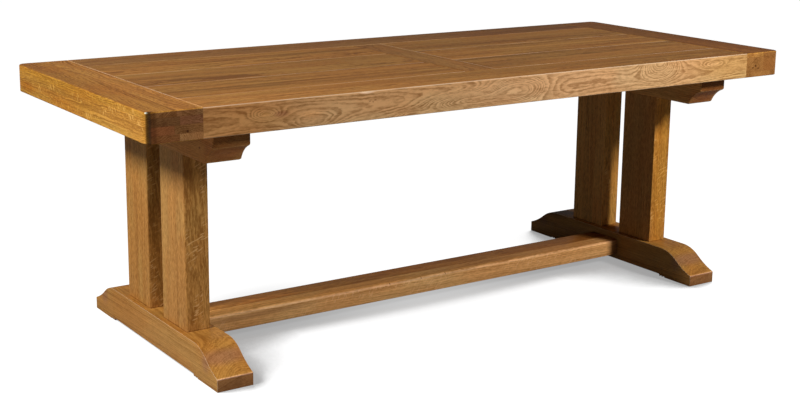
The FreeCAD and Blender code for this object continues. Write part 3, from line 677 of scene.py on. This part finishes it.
# A pale spot on the front upper arris, painted as wear and as a highlight
PALE_ARRIS_SPOT = ((-0.480, face + 0.001, 0.758), (0.030, 0.006, 0.006), (1.5, 1.9, 2.9))
finish_node("front_rail", oak(
    "front_rail_oak", "X", 51, RAIL_COLOUR, pith=(face + HEART_DEPTH, HEART_HEIGHT), spread=(0.0, 0.0),
    # Front upper arris painted pale as wear and highlight; upper faces painted with shade, darker to the
    # right
    breaks=(face + FACE_BOARD, face + SECOND_JOINT), wander=0.008, worn_and_highlit=("Y", 0.75),
    upper_shade_tints=((0.68, 0.53, 0.26), (0.43, 0.32, 0.13)),
    figures=[
        ((x, face, z), (reach_x, FIGURE_DEPTH, reach_z), swelling)
        for (x, z), (reach_x, reach_z), swelling in RAIL_FIGURES.values()
    ],
    patches=[
        ((x, face, z), (reach_x, TINT_DEPTH, reach_z), factors)
        for (x, z), (reach_x, reach_z), factors in RAIL_TINTS.values()
    ] + [PALE_ARRIS_SPOT],
    **RAIL_GRAIN,
))
low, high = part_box("back_rail")
finish_node("back_rail", oak(
    "back_rail_oak", "X", 52, RAIL_COLOUR, pith=(high.y - HEART_DEPTH, HEART_HEIGHT),
    breaks=(high.y - SECOND_JOINT, high.y - FACE_BOARD), wander=0.014,
    # Upper faces painted with shade, darker towards the right
    upper_shade_tints=((0.52, 0.40, 0.22), (0.32, 0.22, 0.105)), **RAIL_GRAIN,
))

# ---------------------------------------------------------------------------------------------
# Centre rail
# The cross member at mid length, of two oak staves glued edge to edge. It is tenoned into both
# long rails, and the planks are tongued into its sides.
# ---------------------------------------------------------------------------------------------

BOARD_COLOUR = (0.335, 0.146, 0.028)
CENTRE_RAIL_TINT = (0.90, 0.90, 0.98)
finish_node("centre_rail", oak(
    "centre_rail_oak", "Y", 61, shade(BOARD_COLOUR, CENTRE_RAIL_TINT), pith=(0.0, 0.62), breaks=(0.0,),
))

# ---------------------------------------------------------------------------------------------
# Planks
# Three to each bay, of two oak staves each, tongued together and into the rails and the ends. A
# small vee marks each joint, and its sides are painted pale, as wear and as a painted highlight.
# ---------------------------------------------------------------------------------------------

PLANK_TONES = {"left_front": 1.02, "left_middle": 0.94, "left_back": 1.08,
               "right_front": 0.88, "right_middle": 1.04, "right_back": 0.97}
for seed, (place_name, tone) in enumerate(PLANK_TONES.items(), start=71):
    node = f"plank_{place_name}"
    low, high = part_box(node)
    middle = (low + high) / 2
    finish_node(node, oak(
        f"{node}_oak", "X", seed, shade(BOARD_COLOUR, [tone] * 3), pith=(middle.y, 0.6),
        spread=(0.15, 0.05), breaks=(middle.y,), worn_and_highlit=("Z", 0.42), stave_tone=0.18, banding=2.8,
        contrast=1.9,
    ))

# ---------------------------------------------------------------------------------------------
# Breadboard ends
# The cross-grained oak ends, glued up in layers of staves, mortised for the long rails and grooved
# for the planks. Their end grain shows at the table's front and back as a pattern of blocks.
# ---------------------------------------------------------------------------------------------

END_COLOUR = (0.53, 0.262, 0.046)
END_GRAIN = {"spread": (0.05, 0.04), "wander": 0.02, "banding": 1.8}
HEART_BELOW = 0.62

low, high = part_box("breadboard_end_left")
middle = (low + high) / 2
# Painted shade on the left end's upper faces
LEFT_TOP_SHADE = (0.72, 0.63, 0.70)
# The tint of each block of end grain, by its stave from the left and its layer from below
LEFT_BLOCKS = {
    (0, 3): (1.05, 1.0, 0.95), (1, 3): (1.0, 1.0, 0.95),
    (0, 2): (0.78, 0.74, 0.74), (1, 2): (0.88, 0.80, 0.88),
    (0, 1): (1.15, 0.96, 1.0), (1, 1): (0.95, 0.93, 0.80),
    (0, 0): (1.05, 0.95, 0.92), (1, 0): (1.40, 1.42, 1.30),
}
# The centre of each tinted place, its reach along X, Y and Z, and its factors
LEFT_END_TINTS = {
    "upper edge": ((low.x, 0.10, 0.756), (0.002, 0.60, 0.030), (0.95, 0.90, 0.66)),
    "lower edge, back": ((low.x, 0.37, 0.705), (0.03, 0.09, 0.020), (0.90, 0.72, 0.50)),
    "lower edge": ((low.x, 0.10, 0.695), (0.03, 0.12, 0.020), (0.96, 0.84, 0.70)),
    "front half": ((low.x, -0.35, 0.710), (0.03, 0.30, 0.050), (1.04, 1.10, 1.40)),
    # Painted shade down the rounded front corner, darkest in its middle, and a painted highlight at its top
    "corner": ((low.x + 0.014, low.y, 0.716), (0.020, 0.020, 0.30), (0.52, 0.48, 0.42)),
    "darkest painted shade on the corner": ((low.x + 0.009, low.y + 0.006, 0.716), (0.010, 0.010, 0.30), (0.24, 0.24, 0.24)),
    "glint": ((low.x + 0.005, low.y + 0.009, 0.758), (0.006, 0.006, 0.003), (3.0, 7.0, 40.0)),
}
finish_node("breadboard_end_left", oak(
    "breadboard_end_left_oak", "Y", 81, END_COLOUR, pith=(middle.x, HEART_BELOW), breaks=(-1.020,),
    layers=(0.7013, 0.7226, 0.7439), layer_shift=0.008, end_tint=(0.46, 0.43, 0.98),
    upper_shade_tints=(LEFT_TOP_SHADE, LEFT_TOP_SHADE), stave_tone=0.03, contrast=1.4, flecks=0.7, fleck_slope=0.6,
    fleck_face="X", knots=[((-0.994, low.y, 0.706), 0.004)],
    staves=((0, (0.96, 0.92, 0.74)), (1, (1.12, 1.13, 1.06))),
    blocks=[(*block, tint) for block, tint in LEFT_BLOCKS.items()],
    patches=LEFT_END_TINTS.values(), **END_GRAIN,
))

low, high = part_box("breadboard_end_right")
middle = (low + high) / 2
# Painted shade on the right end's upper faces, darker than on the left end
RIGHT_TOP_SHADE = (0.39, 0.28, 0.20)
RIGHT_BLOCKS = {(0, 2): (1.35, 1.40, 1.30), (1, 2): (0.92, 0.90, 0.90), (1, 1): (0.92, 0.90, 0.90)}
RIGHT_KNOTS = ((0.982, 0.712), (0.994, 0.717), (1.006, 0.709))
finish_node("breadboard_end_right", oak(
    "breadboard_end_right_oak", "Y", 82, END_COLOUR, pith=(middle.x, HEART_BELOW), breaks=(1.030,),
    layers=(0.700, 0.746), end_tint=(0.57, 0.50, 0.72), upper_shade_tints=(RIGHT_TOP_SHADE, RIGHT_TOP_SHADE),
    stave_tone=0.06, knots=[((x, low.y, z), 0.004) for x, z in RIGHT_KNOTS],
    blocks=[(*block, tint) for block, tint in RIGHT_BLOCKS.items()], **END_GRAIN,
))

# ---------------------------------------------------------------------------------------------
# Screws, washers and inserts
# Zinc-plated steel cap screws and washers, counterbored into the undersides of the bearers and
# the feet, and the turned brass inserts above them that the screws are driven into.
# ---------------------------------------------------------------------------------------------

DULL_SPOTS = 900.0


def metal(name, colour, roughness):
    """Plated or turned metal, a little dulled in spots."""
    material, shader, place = start_finish(name)
    dulled = place.stretch([DULL_SPOTS] * 3).noise(3.0)
    paint = (dulled + 0.5).between(shade(colour), shade(colour, (0.7, 0.7, 0.7)))
    paint.feed(shader, "Base Color")
    (dulled * 0.3 + roughness).feed(shader, "Roughness")
    shader.inputs["Metallic"].default_value = 1.0
    return material


zinc = metal("zinc_plate", colour=(0.62, 0.63, 0.64), roughness=0.35)
brass = metal("turned_brass", colour=(0.70, 0.55, 0.27), roughness=0.3)
for joint in ("top", "stretcher"):
    finish_node(f"{joint}_bolts", zinc)
    finish_node(f"{joint}_washers", zinc)
    finish_node(f"{joint}_inserts", brass)

# ---------------------------------------------------------------------------------------------
# Floor and walls
# A plain white floor with painted shade in its glow, only close to the trestles, beside the left toe
# and round the stretcher, where little light comes in under the top, and a white room.
# ---------------------------------------------------------------------------------------------

FLOOR_SIZE = 60.0
FLOOR_COLOUR = (0.18, 0.18, 0.18, 1)
AMBIENT = 0.03
CONTACT_REACH = 0.30
# How open the floor is where its shade begins, and where it is full
OPEN_FLOOR = 0.84
SHUT_FLOOR = 0.50
CONTACT_DEPTH = 0.66
MIDDLE_DEPTH = 0.17
TOE_SHADE = 0.8
BACK_SHADE = 0.16
BESIDE_TOE = (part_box("foot_left")[1].x + 0.006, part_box("foot_left")[0].y + 0.085, 0.0)
BEHIND_STRETCHER = (-0.47, 0.27, 0.0)


def seen_rays(tree):
    """1 where the camera, a reflection or clear glass looks, and 0 for light that falls on things."""
    path = Socket(tree, tree.nodes.new("ShaderNodeLightPath").outputs["Is Camera Ray"])
    bounced = path.math("MAXIMUM", path.sibling("Is Glossy Ray"), path.sibling("Is Transmission Ray"))
    return path.math("MAXIMUM", path, bounced)


bpy.ops.object.select_all(action="DESELECT")
bpy.ops.mesh.primitive_plane_add(size=FLOOR_SIZE)
floor = bpy.context.object
floor.name = "floor"
floor_finish, shader, spot = start_finish("pale_floor")
floor.data.materials.append(floor_finish)
shader.inputs["Base Color"].default_value = FLOOR_COLOUR
shader.inputs["Roughness"].default_value = 1.0
shader.inputs["Specular IOR Level"].default_value = 0.0
shader.inputs["Emission Strength"].default_value = 1.0
# The floor counts as shut in by what stands outwards and behind, so the shade gathers on the inner
# sides of the trestles and in front of the stretcher
leaning = spot.vector("ADD", spot.stretch((1.0, 0.0, 0.0)), (0.0, 0.5, 0.5))
leaning = leaning.vector("NORMALIZE", leaning)
open_floor = leaning.node("ShaderNodeAmbientOcclusion", {"samples": 16},
                          {"Distance": CONTACT_REACH, "Normal": leaning}, "AO")
# Painted shade beside the left toe and behind the stretcher, lighter in the middle under the stretcher
shut_in = open_floor.step(OPEN_FLOOR, SHUT_FLOOR) + spot.hill(BESIDE_TOE, (0.032, 0.090, 1.0)) * TOE_SHADE
shade_depth = CONTACT_DEPTH - spot.hill((0.0, 0.0, 0.0), (0.42, 3.0, 1.0)) * MIDDLE_DEPTH
behind = spot.hill(BEHIND_STRETCHER, (0.26, 0.11, 1.0)) * BACK_SHADE
bright = (1 - shut_in.math("MINIMUM", shut_in, 1.0) * shade_depth) * (1 - behind)
(seen_rays(spot.tree) * bright).feed(shader, "Emission Color")

room = bpy.data.worlds.new("room")
room.use_nodes = True
bpy.context.scene.world = room
walls = room.node_tree.nodes["Background"]
walls.inputs["Color"].default_value = (1, 1, 1, 1)
(seen_rays(room.node_tree) * (1 - AMBIENT) + AMBIENT).feed(walls, "Strength")

# ---------------------------------------------------------------------------------------------
# Lamps and camera
# A softbox stands off the left end, another off the front right corner, and a low weak one
# fills in the shade under the left end.
# ---------------------------------------------------------------------------------------------


def softbox(name, place, aim, size, level):
    """A square lamp that lights a white surface at its aim, square to it, to the given level."""
    away = Vector(place) - Vector(aim)
    lamp = bpy.data.lights.new(name, "AREA")
    lamp.size = size
    lamp.energy = level * (math.pi * away.length) ** 2
    holder = bpy.data.objects.new(name, lamp)
    bpy.context.scene.collection.objects.link(holder)
    holder.location = place
    holder.rotation_euler = away.to_track_quat("Z", "Y").to_euler()


softbox("left_lamp", place=(-3.55, -0.52, 2.71), aim=(-1.10, 0.0, 0.72), size=0.6, level=1.2)
softbox("right_lamp", place=(1.75, -2.42, 2.06), aim=(0.90, -0.45, 0.72), size=0.45, level=1.27)
softbox("low_fill", place=(-2.2, -1.6, 0.45), aim=(-0.88, -0.2, 0.55), size=0.6, level=0.10)

lens = bpy.data.cameras.new("camera")
camera = bpy.data.objects.new("camera", lens)
bpy.context.scene.collection.objects.link(camera)
camera.location = (-2.41086, -3.46104, 1.36506)
camera.rotation_euler = [math.radians(turn) for turn in (77.60475, -0.73927, -34.23936)]
lens.sensor_width = 36.0
lens.lens = 62.499
lens.shift_x = -0.00951
lens.shift_y = -0.05528
bpy.context.scene.camera = camera
bpy.context.scene.view_settings.view_transform = "Standard"
